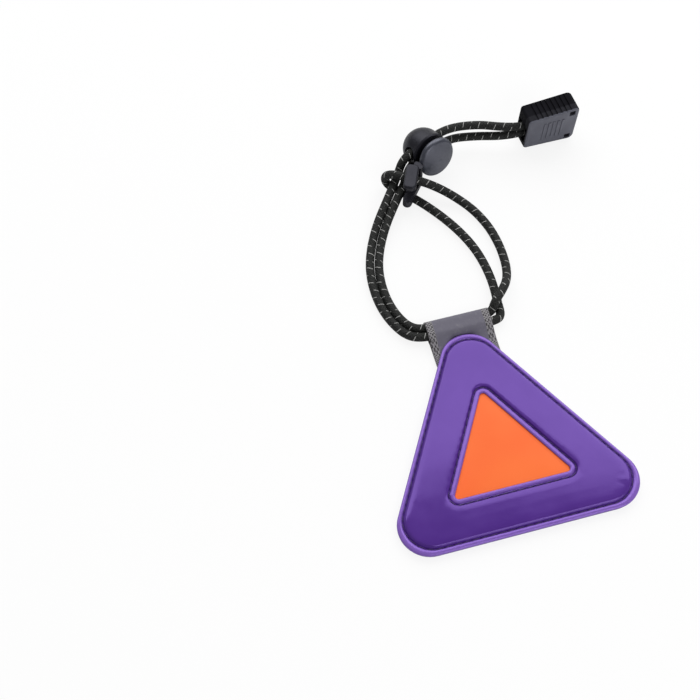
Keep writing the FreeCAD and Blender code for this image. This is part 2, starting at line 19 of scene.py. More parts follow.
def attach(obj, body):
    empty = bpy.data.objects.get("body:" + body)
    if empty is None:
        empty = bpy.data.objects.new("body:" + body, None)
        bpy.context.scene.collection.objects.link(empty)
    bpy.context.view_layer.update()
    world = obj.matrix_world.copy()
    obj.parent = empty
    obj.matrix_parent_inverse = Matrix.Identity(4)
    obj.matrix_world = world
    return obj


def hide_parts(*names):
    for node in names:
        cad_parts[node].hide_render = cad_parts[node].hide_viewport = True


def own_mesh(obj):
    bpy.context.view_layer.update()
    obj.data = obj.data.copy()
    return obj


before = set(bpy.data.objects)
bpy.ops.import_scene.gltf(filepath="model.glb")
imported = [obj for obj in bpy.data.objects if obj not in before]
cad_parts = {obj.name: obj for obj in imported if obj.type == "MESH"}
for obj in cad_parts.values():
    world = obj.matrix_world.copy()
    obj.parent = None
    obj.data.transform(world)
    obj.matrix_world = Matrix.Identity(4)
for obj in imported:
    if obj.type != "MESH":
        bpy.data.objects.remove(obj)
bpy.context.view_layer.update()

LOG = logging.getLogger("reflector_tag")
MM = 0.001
FULL_TURN = 2.0 * math.pi
TAG_BODY = "tag"
Colour = tuple[float, float, float]
Point2 = tuple[float, float]
Point3 = tuple[float, float, float]


class Slot(Enum):
    """Material slots that the new pieces are filed under; each piece takes its finish from the material it
    is given.
    """

    FILM = "film"
    FOAM = "foam"
    REFLECTIVE = "reflective"
    THREAD = "thread"
    RIBBON = "ribbon"
    CORD = "cord"
    SPRING = "spring_steel"


class NodeBoard:
    """Node tree of one material, with short calls that add and join nodes."""

    def __init__(self, name: str) -> None:
        """Starts an empty tree.

        Args:
            name: Name of the material.
        """
        self.material: Material = bpy.data.materials.new(name)
        self.material.use_nodes = True
        self.tree = self.material.node_tree
        self.tree.nodes.clear()
        self.output = self.add("ShaderNodeOutputMaterial")

    def add(self, kind: str, inputs: dict[str | int, object] | None = None, **settings: object) -> Node:
        """Adds a node.

        Args:
            kind: Blender's name of the node type.
            inputs: Sockets or values for its inputs, by name or number.
            **settings: Properties to set on it first.

        Returns:
            The new node.
        """
        node = self.tree.nodes.new(kind)
        for key, value in settings.items():
            setattr(node, key, value)
        for key, value in (inputs or {}).items():
            self.feed(node.inputs[key], value)
        return node

    def feed(self, socket: NodeSocket, value: object) -> None:
        """Links an input to a socket, or sets its value.

        Args:
            socket: The input.
            value: A socket, a number, a vector or a colour of three parts.
        """
        if isinstance(value, NodeSocket):
            self.tree.links.new(value, socket)
        else:
            socket.default_value = (*value, 1.0) if socket.type == "RGBA" else value

    def math(self, operation: str, *values: object) -> NodeSocket:
        """Result of a math operation on sockets or numbers."""
        return self.add("ShaderNodeMath", dict(enumerate(values)), operation=operation).outputs[0]

    def wave(self, turns: NodeSocket) -> NodeSocket:
        """A sine of some turns, moved to run from 0 to 1."""
        sine = self.math("SINE", self.math("MULTIPLY", turns, FULL_TURN))
        return self.math("MULTIPLY_ADD", sine, 0.5, 0.5)

    def ramp(self, factor: NodeSocket, low: float, high: float) -> NodeSocket:
        """Smooth step of a value, 0 at low and 1 at high."""
        span = {"Value": factor, "From Min": low, "From Max": high}
        return self.add("ShaderNodeMapRange", span, interpolation_type="SMOOTHSTEP").outputs["Result"]

    def mix(self, factor: NodeSocket, first: object, second: object) -> NodeSocket:
        """Mix of two colours: a factor of 0 gives the first and 1 the second."""
        return self.add("ShaderNodeMix", {0: factor, 6: first, 7: second}, data_type="RGBA").outputs[2]

    def noise(self, place: NodeSocket, scale: float, detail: float) -> NodeSocket:
        """Noise with a number of cells in each metre and of octaves."""
        inputs = {"Vector": place, "Scale": scale, "Detail": detail}
        return self.add("ShaderNodeTexNoise", inputs).outputs["Fac"]

    def uneven(self, noise: NodeSocket, middle: float, spread: float) -> NodeSocket:
        """A noise moved to wander about a middle value."""
        return self.math("MULTIPLY_ADD", noise, spread, middle - spread / 2.0)

    def cells(self, place: NodeSocket, scale: float) -> NodeSocket:
        """Distance from the nearest cell's middle, with a number of cells in each metre."""
        return self.add("ShaderNodeTexVoronoi", {"Vector": place, "Scale": scale}).outputs["Distance"]

    def bump(
        self, height: NodeSocket, strength: float, distance: float, normal: NodeSocket | None = None
    ) -> NodeSocket:
        """Adds a bump.

        Args:
            height: Height in units of the distance.
            strength: Share of the bump.
            distance: Real height in metres.
            normal: Normal from another bump.

        Returns:
            The bumped normal.
        """
        inputs = {"Height": height, "Strength": strength, "Distance": distance}
        if normal is not None:
            inputs["Normal"] = normal
        return self.add("ShaderNodeBump", inputs).outputs["Normal"]

    def place(self) -> NodeSocket:
        """Object coordinates."""
        return self.add("ShaderNodeTexCoord").outputs["Object"]

    def surface(self, layer: str) -> tuple[NodeSocket, NodeSocket]:
        """The two coordinates of a UV map."""
        place = self.add("ShaderNodeUVMap", uv_map=layer).outputs["UV"]
        return tuple(self.add("ShaderNodeSeparateXYZ", {0: place}).outputs[:2])

    def shade(self, **inputs: object) -> Material:
        """Ends the tree in one surface shader.

        Args:
            **inputs: Values or sockets for the shader, with _ for spaces.

        Returns:
            The finished material.
        """
        shader = self.add("ShaderNodeBsdfPrincipled")
        for key, value in inputs.items():
            name = key.replace("_", " ").title().replace("Ior", "IOR")
            self.feed(shader.inputs[name], value)
        self.feed(self.output.inputs["Surface"], shader.outputs["BSDF"])
        return self.material


@dataclass(frozen=True)
class FilmFinish:
    """Glossy vinyl film, faintly uneven over the foam, and paler on its free rim: partly its own paler
    edge, partly a painted highlight on the rounded rim.
    """

    name: str = "purple_film"
    deep: Colour = (0.073, 0.024, 0.224)
    light: Colour = (0.084, 0.03, 0.246)
    rim: Colour = (0.215, 0.115, 0.46)
    glint: Colour = (0.52, 0.34, 1.0)
    gloss: float = 0.93
    roughness: float = 0.11
    smear: float = 0.08
    cloud_scale: float = 60.0
    smear_scale: float = 240.0
    sag_scale: float = 70.0
    sag_height: float = 0.0006
    grain_scale: float = 2600.0
    grain_height: float = 0.00005

    def build(self) -> Material:
        """Makes the material.

        Returns:
            The film's material.
        """
        board = NodeBoard(self.name)
        place = board.place()
        cloud = board.ramp(board.noise(place, self.cloud_scale, 2.0), 0.35, 0.65)
        body = board.mix(cloud, self.deep, self.light)
        # Partly painted highlight: the rim attribute blends the paler rim colour in near the film's free
        # edges.
        rim = board.add("ShaderNodeAttribute", attribute_name="rim").outputs["Fac"]
        smear = board.uneven(board.noise(place, self.smear_scale, 4.0), self.roughness, self.smear)
        sag = board.bump(board.noise(place, self.sag_scale, 1.0), 0.12, self.sag_height)
        grain = board.bump(board.noise(place, self.grain_scale, 2.0), 0.06, self.grain_height, sag)
        return board.shade(base_color=board.mix(rim, body, self.rim), roughness=smear, normal=grain,
                           specular_ior_level=self.gloss, specular_tint=self.glint)


@dataclass(frozen=True)
class FoamFinish:
    """Closed-cell foam, seen only at the pad's cut edge."""

    name: str = "lilac_foam"
    cell: Colour = (0.24, 0.13, 0.5)
    wall: Colour = (0.33, 0.2, 0.62)
    roughness: float = 0.9
    cell_scale: float = 2800.0
    cell_depth: float = 0.0001

    def build(self) -> Material:
        """Makes the material.

        Returns:
            The foam's material.
        """
        board = NodeBoard(self.name)
        distance = board.cells(board.place(), self.cell_scale)
        colour = board.mix(distance, self.wall, self.cell)
        normal = board.bump(distance, 0.5, self.cell_depth)
        return board.shade(base_color=colour, roughness=self.roughness, normal=normal)


@dataclass(frozen=True)
class ReflectiveFinish:
    """Bright reflective film with a faint bead texture."""

    name: str = "orange_reflective"
    base: Colour = (0.95, 0.142, 0.018)
    lift: Colour = (0.97, 0.168, 0.026)
    gloss: float = 0.3
    roughness: float = 0.45
    cloud_scale: float = 45.0
    bead_scale: float = 4200.0
    bead_height: float = 0.00004

    def build(self) -> Material:
        """Makes the material.

        Returns:
            The insert's material.
        """
        board = NodeBoard(self.name)
        place = board.place()
        cloud = board.ramp(board.noise(place, self.cloud_scale, 2.0), 0.3, 0.7)
        normal = board.bump(board.cells(place, self.bead_scale), 0.12, self.bead_height)
        return board.shade(base_color=board.mix(cloud, self.base, self.lift), roughness=self.roughness,
                           normal=normal, specular_ior_level=self.gloss)


@dataclass(frozen=True)
class ThreadFinish:
    """Twisted sewing thread."""

    name: str = "dark_thread"
    shade: Colour = (0.022, 0.005, 0.075)
    ply: Colour = (0.06, 0.02, 0.16)
    plies: float = 2.0
    twists: float = 5.0
    roughness: float = 0.55
    ply_height: float = 0.00006

    def build(self) -> Material:
        """Makes the material.

        Returns:
            The thread's material.
        """
        board = NodeBoard(self.name)
        around, along = board.surface("thread")
        twist = board.math("MULTIPLY", along, self.twists)
        lay = board.wave(board.math("ADD", board.math("MULTIPLY", around, self.plies), twist))
        # Painted shade and highlight: the grooves between the plies take the dark shade colour, the ply
        # crowns the lighter ply colour.
        colour = board.mix(lay, self.shade, self.ply)
        normal = board.bump(lay, 0.6, self.ply_height)
        return board.shade(base_color=colour, roughness=self.roughness, normal=normal)


@dataclass(frozen=True)
class RibbonFinish:
    """Woven ribbon: fine plain weave with a coarser woven band at each edge."""

    name: str = "gray_ribbon"
    width: float = 22.0
    band: float = 2.4
    band_blur: float = 0.1
    weave: Colour = (0.116, 0.11, 0.144)
    crown: float = 1.12
    fleck: Colour = (0.25, 0.24, 0.255)
    shade: Colour = (0.03, 0.027, 0.03)
    fine_pitch: float = 0.42
    coarse_pitch: float = 1.12
    stray: float = 1.3
    stray_scale: float = 1100.0
    wear: float = 0.35
    wear_scale: float = 900.0
    roughness: float = 0.72
    relief: float = 0.00012

    def build(self) -> Material:
        """Makes the material.

        Returns:
            The ribbon's material.
        """
        board = NodeBoard(self.name)
        place = board.place()
        across, along = board.surface("cloth")
        edge = board.math("MINIMUM", across, board.math("SUBTRACT", self.width, across))
        band = board.ramp(edge, self.band + self.band_blur, self.band - self.band_blur)
        fine = self.crossing(board, across, along, self.fine_pitch)
        stray = board.uneven(board.noise(place, self.stray_scale, 2.0), 0.0, self.stray)
        coarse = self.crossing(board, across, board.math("ADD", along, stray), self.coarse_pitch)
        # Painted highlight: the fine weave is lighter by the crown factor where a yarn lies on top.
        plain = board.mix(fine, self.weave, tuple(self.crown * part for part in self.weave))
        rough = board.mix(board.ramp(coarse, 0.3, 0.62), self.shade, self.fleck)
        worn = board.ramp(board.noise(place, self.wear_scale, 3.0), 0.5, 0.85)
        worn = board.math("MULTIPLY", worn, self.wear)
        colour = board.mix(worn, board.mix(band, plain, rough), self.fleck)
        height = board.math("ADD", board.math("MULTIPLY", fine, 0.35), board.math("MULTIPLY", coarse, band))
        return board.shade(base_color=colour, roughness=self.roughness, sheen_weight=0.25,
                           sheen_roughness=0.4, normal=board.bump(height, 0.5, self.relief))

    @staticmethod
    def crossing(board: NodeBoard, across: NodeSocket, along: NodeSocket, pitch: float) -> NodeSocket:
        """Height of a plain weave.

        Args:
            board: Tree to add to.
            across: Millimetres across the ribbon.
            along: Millimetres along it.
            pitch: Spacing of the yarns.

        Returns:
            A value from 0 to 1, high where a yarn lies on top.
        """
        turn = FULL_TURN / pitch
        first = board.math("SINE", board.math("MULTIPLY", across, turn))
        second = board.math("SINE", board.math("MULTIPLY", along, turn))
        return board.math("MULTIPLY_ADD", board.math("MULTIPLY", first, second), 0.5, 0.5)


@dataclass(frozen=True)
class CordFinish:
    """Braided elastic cord with a pale tracer yarn that winds round it."""

    name: str = "tracer_cord"
    yarn: Colour = (0.012, 0.013, 0.012)
    crown: float = 1.9
    gap_shade: Colour = (0.004, 0.004, 0.004)
    tracer: Colour = (0.38, 0.38, 0.37)
    lead: float = 2.9
    tracer_width: float = 0.25
    dashes: float = 3.0
    dash_drift: float = 0.9
    carriers: float = 8.0
    braid_pitch: float = 1.15
    fuzz_scale: float = 3000.0
    gloss: float = 0.3
    roughness: float = 0.7
    relief: float = 0.00016

    def build(self) -> Material:
        """Makes the material.

        Returns:
            The cord's material.
        """
        board = NodeBoard(self.name)
        around, along = board.surface("braid")
        left = self.helix(board, around, along, 1.0)
        right = self.helix(board, around, along, -1.0)
        lay = board.math("MAXIMUM", left, right)
        fuzz = board.noise(board.place(), self.fuzz_scale, 2.0)
        # Painted highlight and shade: yarn crowns lit brighter by the crown factor, gaps between the yarns
        # darkened.
        lit = tuple(self.crown * part for part in self.yarn)
        body = board.mix(board.math("MULTIPLY", lay, fuzz), self.gap_shade, lit)
        turn = board.math("ADD", board.math("DIVIDE", along, self.lead), around)
        off = board.math("ABSOLUTE", board.math("SUBTRACT", board.math("FRACT", turn), 0.5))
        half = self.tracer_width / self.lead / 2.0
        stripe = board.ramp(off, half * 1.15, half * 0.75)
        drift = board.math("MULTIPLY", along, self.dash_drift)
        dash = board.math("SINE", board.math("MULTIPLY_ADD", around, self.dashes * FULL_TURN, drift))
        fleck = board.math("MULTIPLY", stripe, board.ramp(dash, -0.55, -0.1))
        colour = board.mix(fleck, body, self.tracer)
        height = board.math("ADD", lay, board.math("MULTIPLY", fleck, 0.4))
        return board.shade(base_color=colour, roughness=self.roughness, specular_ior_level=self.gloss,
                           normal=board.bump(height, 0.7, self.relief))

    def helix(self, board: NodeBoard, around: NodeSocket, along: NodeSocket, hand: float) -> NodeSocket:
        """Height of the yarns that wind one way.

        Args:
            board: Tree to add to.
            around: Turns round the cord.
            along: Millimetres along the cord.
            hand: 1 or -1 for the two ways.

        Returns:
            A value from 0 to 1.
        """
        climb = board.math("DIVIDE", along, self.braid_pitch)
        return board.wave(board.math("MULTIPLY_ADD", around, hand * self.carriers, climb))


@dataclass(frozen=True)
class MouldedFinish:
    """Satin moulded plastic with a fine spark texture."""

    name: str
    base: Colour
    bloom: Colour
    roughness: float
    gloss: float
    glint: Colour = (0.84, 0.85, 1.0)
    patchy: float = 0.16
    bloom_scale: float = 180.0
    patch_scale: float = 700.0
    spark_scale: float = 5200.0
    spark_height: float = 0.00004

    def build(self) -> Material:
        """Makes the material.

        Returns:
            The plastic's material.
        """
        board = NodeBoard(self.name)
        colour, rough, spark = self.satin(board, board.place())
        return board.shade(base_color=colour, roughness=rough, normal=spark,
                           specular_ior_level=self.gloss, specular_tint=self.glint)

    def satin(self, board: NodeBoard, place: NodeSocket) -> tuple[NodeSocket, NodeSocket, NodeSocket]:
        """Adds the nodes of the plain plastic.

        Args:
            board: Tree to add to.
            place: Coordinates.

        Returns:
            The colour, the roughness and the normal.
        """
        cloud = board.ramp(board.noise(place, self.bloom_scale, 4.0), 0.35, 0.75)
        colour = board.mix(cloud, self.base, self.bloom)
        rough = board.uneven(board.noise(place, self.patch_scale, 3.0), self.roughness, self.patchy)
        return colour, rough, board.bump(board.noise(place, self.spark_scale, 2.0), 0.22, self.spark_height)


@dataclass(frozen=True)
class CoverFinish(MouldedFinish):
    """Satin cover with a smooth face, and a pebble texture under painted shade on its narrow sides."""

    # Painted shade of the narrow sides.
    side_shade: Colour = (0.005, 0.0048, 0.0065)
    grip_roughness: float = 0.35
    pebble_scale: float = 2400.0
    pebble_height: float = 0.00008
    across: Point3 = (-0.0836, 0.99606, -0.02962)
    face: float = 105.64
    edge: Point2 = (0.3, 0.62)

    def build(self) -> Material:
        """Makes the material.

        Returns:
            The cover's material.
        """
        board = NodeBoard(self.name)
        place = board.place()
        colour, rough, spark = self.satin(board, place)
        # Painted shade: past the face plane the side mask darkens the narrow sides to the side shade
        # colour.
        depth = board.add("ShaderNodeVectorMath", {0: place, 1: self.across}, operation="DOT_PRODUCT")
        start, end = ((self.face + part) * MM for part in self.edge)
        side = board.ramp(depth.outputs["Value"], start, end)
        pebble = board.math("MULTIPLY", board.noise(place, self.pebble_scale, 1.0), side)
        return board.shade(base_color=board.mix(side, colour, self.side_shade),
                           roughness=board.math("MULTIPLY_ADD", side, self.grip_roughness, rough),
                           normal=board.bump(pebble, 0.5, self.pebble_height, spark),
                           specular_ior_level=self.gloss, specular_tint=self.glint)


@dataclass(frozen=True)
class SpringFinish:
    """Drawn spring wire."""

    name: str = "spring_wire"
    dull: Colour = (0.42, 0.42, 0.44)
    bright: Colour = (0.62, 0.62, 0.64)
    roughness: float = 0.32
    streak_scale: float = 1800.0

    def build(self) -> Material:
        """Makes the material.

        Returns:
            The wire's material.
        """
        board = NodeBoard(self.name)
        streak = board.noise(board.place(), self.streak_scale, 2.0)
        colour = board.mix(streak, self.dull, self.bright)
        return board.shade(base_color=colour, roughness=self.roughness, metallic=1.0)


@dataclass(frozen=True)
class FloorFinish:
    """White table that stays white to the camera and keeps a soft shadow."""

    name: str = "white_table"
    paint: Colour = (0.92, 0.92, 0.92)
    white: Colour = (1.0, 1.0, 1.0)
    held: float = 0.86

    def build(self) -> Material:
        """Makes the material.

        Returns:
            The table's material.
        """
        board = NodeBoard(self.name)
        table = board.add("ShaderNodeBsdfDiffuse", {"Color": self.paint}).outputs["BSDF"]
        glow = board.add("ShaderNodeEmission", {"Color": self.white}).outputs["Emission"]
        path = board.add("ShaderNodeLightPath")
        seen = board.math("MAXIMUM", path.outputs["Is Camera Ray"], path.outputs["Is Transmission Ray"])
        share = board.math("MULTIPLY", seen, self.held)
        blend = board.add("ShaderNodeMixShader", {"Fac": share, 1: table, 2: glow})
        board.feed(board.output.inputs["Surface"], blend.outputs["Shader"])
        return board.material


def put_in_order(bm: BMesh) -> None:
    """Sorts a mesh's elements by place, because operators can make them in another order each run.

    Args:
        bm: The mesh.
    """
    spots = {vert: tuple(vert.co) for vert in bm.verts}
    spots |= {part: sorted(spots[vert] for vert in part.verts) for part in (*bm.edges, *bm.faces)}
    for parts in (bm.verts, bm.edges, bm.faces):
        rank = {part: index for index, part in enumerate(sorted(parts, key=spots.get))}
        parts.sort(key=rank.get)
        parts.index_update()


@dataclass
class Piece:
    """A new piece on the tag: its name, slot, finish and the CAD node that it stands for."""

    name: str
    slot: Slot
    material: Material
    node: str
    sharp: float = 40.0

    def make(self, bm: BMesh, thickness: float = 0.0, offset: float = -1.0) -> Object:
        """Turns a mesh in millimetres into an object that rides on the tag.

        Args:
            bm: The mesh, which is freed.
            thickness: Wall to add to an open sheet, in millimetres.
            offset: Side of the sheet that the wall is on.

        Returns:
            The finished object.
        """
        put_in_order(bm)
        bmesh.ops.recalc_face_normals(bm, faces=bm.faces)
        bmesh.ops.scale(bm, vec=(MM, MM, MM), verts=bm.verts)
        mesh = bpy.data.meshes.new(self.name)
        bm.to_mesh(mesh)
        bm.free()
        mesh.shade_smooth()
        mesh.set_sharp_from_angle(angle=math.radians(self.sharp))
        mesh.materials.append(self.material)
        piece = bpy.data.objects.new(self.name, mesh)
        bpy.context.scene.collection.objects.link(piece)
        if thickness:
            wall = piece.modifiers.new("wall", "SOLIDIFY")
            wall.thickness = thickness * MM
            wall.offset = offset
            wall.use_even_offset = True
        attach(piece, TAG_BODY)
        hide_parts(self.node)
        LOG.info("%s: %d faces", self.name, len(mesh.polygons))
        return piece


class RingSkin:
    """Skin that grows ring by ring: each step extrudes its open edge to new points."""

    def __init__(self, bm: BMesh, closed: bool = True) -> None:
        """Starts a skin that has no ring yet.

        Args:
            bm: Mesh to build in.
            closed: Whether a face fills the first ring.
        """
        self.bm = bm
        self.closed = closed
        self.ring: list[BMVert] = []
        self.edges: list[BMEdge] = []

    def grow(self, points: Sequence[Vector]) -> list[BMVert]:
        """Lays the first ring, or extrudes the open edge to the next one.

        Args:
            points: Points of the new ring, in the order of the first.

        Returns:
            The new ring's vertices.
        """
        if self.ring:
            self.extrude(points)
        else:
            self.ring = [self.bm.verts.new(point) for point in points]
            self.edges = [self.bm.edges.new(pair) for pair in self.pairs()]
            if self.closed:
                self.close()
        return self.ring

    def extrude(self, points: Sequence[Vector]) -> None:
        """Extrudes the open edge and moves it.

        Args:
            points: Points of the new ring.
        """
        order = {vert: index for index, vert in enumerate(self.ring)}
        made = bmesh.ops.extrude_edge_only(self.bm, edges=self.edges)["geom"]
        fresh: dict[int, BMVert] = {}
        for vert in made:
            if isinstance(vert, BMVert):
                for edge in vert.link_edges:
                    index = order.get(edge.other_vert(vert))
                    if index is not None:
                        fresh[index] = vert
        self.ring = [fresh[index] for index in range(len(order))]
        for vert, point in zip(self.ring, points):
            vert.co = point
        self.edges = [self.bm.edges.get(pair) for pair in self.pairs()]

    def pairs(self) -> list[tuple[BMVert, BMVert]]:
        """Neighbours round the open edge."""
        return list(zip(self.ring, self.ring[1:] + self.ring[:1]))

    def close(self) -> None:
        """Fills the open edge with one face."""
        bmesh.ops.contextual_create(self.bm, geom=self.edges)


@dataclass(frozen=True)
class RoundedTriangle:
    """Equilateral outline with rounded corners, apex towards +Y."""

    inradius: float
    corner: float
    shift: float = 0.0
    corner_steps: int = 16
    side_steps: int = 84

    def inset(self, distance: float) -> "RoundedTriangle":
        """The parallel outline a distance further in."""
        return replace(self, inradius=self.inradius - distance, corner=self.corner - distance)

    def corner_middle(self, heading: float, z: float) -> Vector:
        """Middle of one corner's arc.

        Args:
            heading: Where the corner points, in degrees.
            z: Height of the point.

        Returns:
            The point.
        """
        reach = 2.0 * (self.inradius - self.corner)
        angle = math.radians(heading)
        return Vector((reach * math.cos(angle), reach * math.sin(angle) + self.shift, z))

    def arm(self, heading: float) -> Vector:
        """From a corner's middle to its edge, along a heading in degrees."""
        angle = math.radians(heading)
        return self.corner * Vector((math.cos(angle), math.sin(angle), 0.0))

    def points(self, z: float = 0.0) -> list[Vector]:
        """Points round the outline.

        Args:
            z: Height of the points.

        Returns:
            The points, counter-clockwise from the lower side's right end.
        """
        found: list[Vector] = []
        for heading in (330.0, 90.0, 210.0):
            middle = self.corner_middle(heading, z)
            for step in range(self.corner_steps + 1):
                found.append(middle + self.arm(heading - 60.0 + 120.0 * step / self.corner_steps))
            start = found[-1].copy()
            target = self.corner_middle(heading + 120.0, z) + self.arm(heading + 60.0)
            found += [start.lerp(target, cut / self.side_steps) for cut in range(1, self.side_steps)]
        return found

    def stations(self) -> list[float]:
        """Distance along the outline of each of its points.

        Returns:
            The distances, from 0 at the first point.
        """
        places = self.points()
        found = [0.0]
        for before, after in zip(places, places[1:]):
            found.append(found[-1] + (after - before).length)
        return found

    def length(self) -> float:
        """Length of the whole outline."""
        places = self.points()
        return self.stations()[-1] + (places[0] - places[-1]).length

    def at(self, station: float) -> tuple[Vector, Vector]:
        """Place and heading at a distance along the outline.

        Args:
            station: Distance from the first point.

        Returns:
            The point and the direction of travel.
        """
        places = self.points()
        places.append(places[0])
        left = station
        for before, after in zip(places, places[1:]):
            run = (after - before).length
            if left <= run:
                return before.lerp(after, left / run), (after - before).normalized()
            left -= run
        return places[0], (places[1] - places[0]).normalized()


@dataclass(frozen=True)
class ClothRun:
    """Short cloth simulation that lets air swell a sewn film between the places where it is held."""

    scale: float = 0.01
    frames: int = 20
    quality: int = 6
    pressure: float = 1.2
    mass: float = 0.001
    stiffness: float = 15.0
    bending: float = 0.5
    cap: float = 0.02

    def run(self, bm: BMesh, held: Sequence[float]) -> None:
        """Moves a film's vertices as the simulation leaves them.

        Args:
            bm: The film, in millimetres.
            held: How firmly each vertex is held, from 0 to 1.
        """
        bmesh.ops.recalc_face_normals(bm, faces=bm.faces)
        copy = bm.copy()
        bmesh.ops.scale(copy, vec=(self.scale,) * 3, verts=copy.verts)
        mesh = bpy.data.meshes.new("film_trial")
        copy.to_mesh(mesh)
        copy.free()
        trial = bpy.data.objects.new("film_trial", mesh)
        scene = bpy.context.scene
        scene.collection.objects.link(trial)
        sewn = trial.vertex_groups.new(name="sewn")
        for index, weight in enumerate(held):
            sewn.add([index], weight, "REPLACE")
        cloth = trial.modifiers.new("cloth", "CLOTH")
        self.tune(cloth.settings)
        cloth.point_cache.frame_start = 1
        cloth.point_cache.frame_end = self.frames
        for step in range(1, self.frames + 1):
            scene.frame_set(step)
        graph = bpy.context.evaluated_depsgraph_get()
        settled = [vert.co / self.scale for vert in trial.evaluated_get(graph).data.vertices]
        moved = 0.0
        for vert, place in zip(bm.verts, settled):
            move = place - vert.co
            moved = max(moved, move.length)
            vert.co += move * min(1.0, self.cap / max(move.length, self.cap))
        LOG.info("film swelled by %.3f mm at most before the cap", moved)
        bpy.data.objects.remove(trial)
        bpy.data.meshes.remove(mesh)
        scene.frame_set(1)

    def tune(self, settings: bpy.types.ClothSettings) -> None:
        """Sets the film's weight, stiffness and air.

        Args:
            settings: The simulation's settings.
        """
        settings.quality = self.quality
        settings.mass = self.mass
        settings.tension_stiffness = self.stiffness
        settings.compression_stiffness = self.stiffness
        settings.shear_stiffness = self.stiffness / 2.0
        settings.bending_stiffness = self.bending
        settings.vertex_group_mass = "sewn"
        settings.pin_stiffness = 1.0
        settings.use_pressure = True
        settings.uniform_pressure_force = self.pressure
        settings.effector_weights.gravity = 0.0


@dataclass(frozen=True)
class Fade:
    """Pale share of a film near its free edge, partly a painted highlight on the rounded edge."""

    end: float
    width: float
    most: float

    def at(self, distance: float) -> float:
        """The share at a distance from the edge."""
        return max(0.0, min(self.most, (self.end - distance) / self.width))


